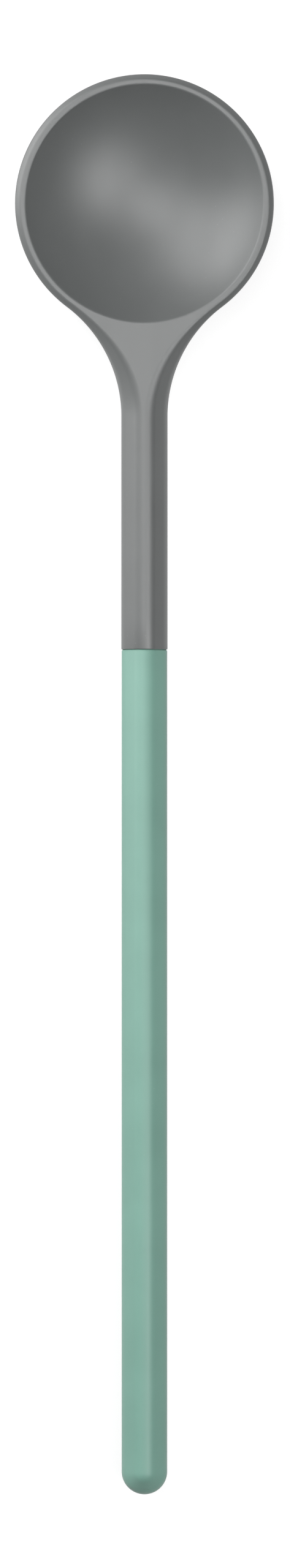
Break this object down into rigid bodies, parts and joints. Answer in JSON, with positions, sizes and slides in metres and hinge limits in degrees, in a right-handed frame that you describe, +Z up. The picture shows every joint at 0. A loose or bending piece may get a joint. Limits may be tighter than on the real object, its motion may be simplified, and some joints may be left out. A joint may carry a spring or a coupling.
{
  "type": "cooking spoon",
  "caption": "Straight cooking spoon with a shallow round bowl, a silicone skin over a stiff core, and a rounded-diamond handle with a full-round end.",
  "frame": {"origin": "middle of the spoon's outline, on the surface it lies on when its bowl faces up", "axes": "+Y along the handle towards the bowl, +Z up out of the bowl, +X to the right of the bowl seen from above with the bowl at the top"},
  "size_m": [0.0564, 0.31, 0.0143],
  "materials": {
    "grey_silicone": "satin matt moulded silicone",
    "mint_silicone": "satin matt moulded silicone",
    "core_nylon": "moulded glass-filled nylon",
    "rod_steel": "drawn bar"
  },
  "bodies": {
    "root": {"head_skin": "grey_silicone", "head_core": "core_nylon", "core_rod": "rod_steel", "handle_core": "core_nylon", "handle_skin": "mint_silicone"}
  },
  "joints": []
}
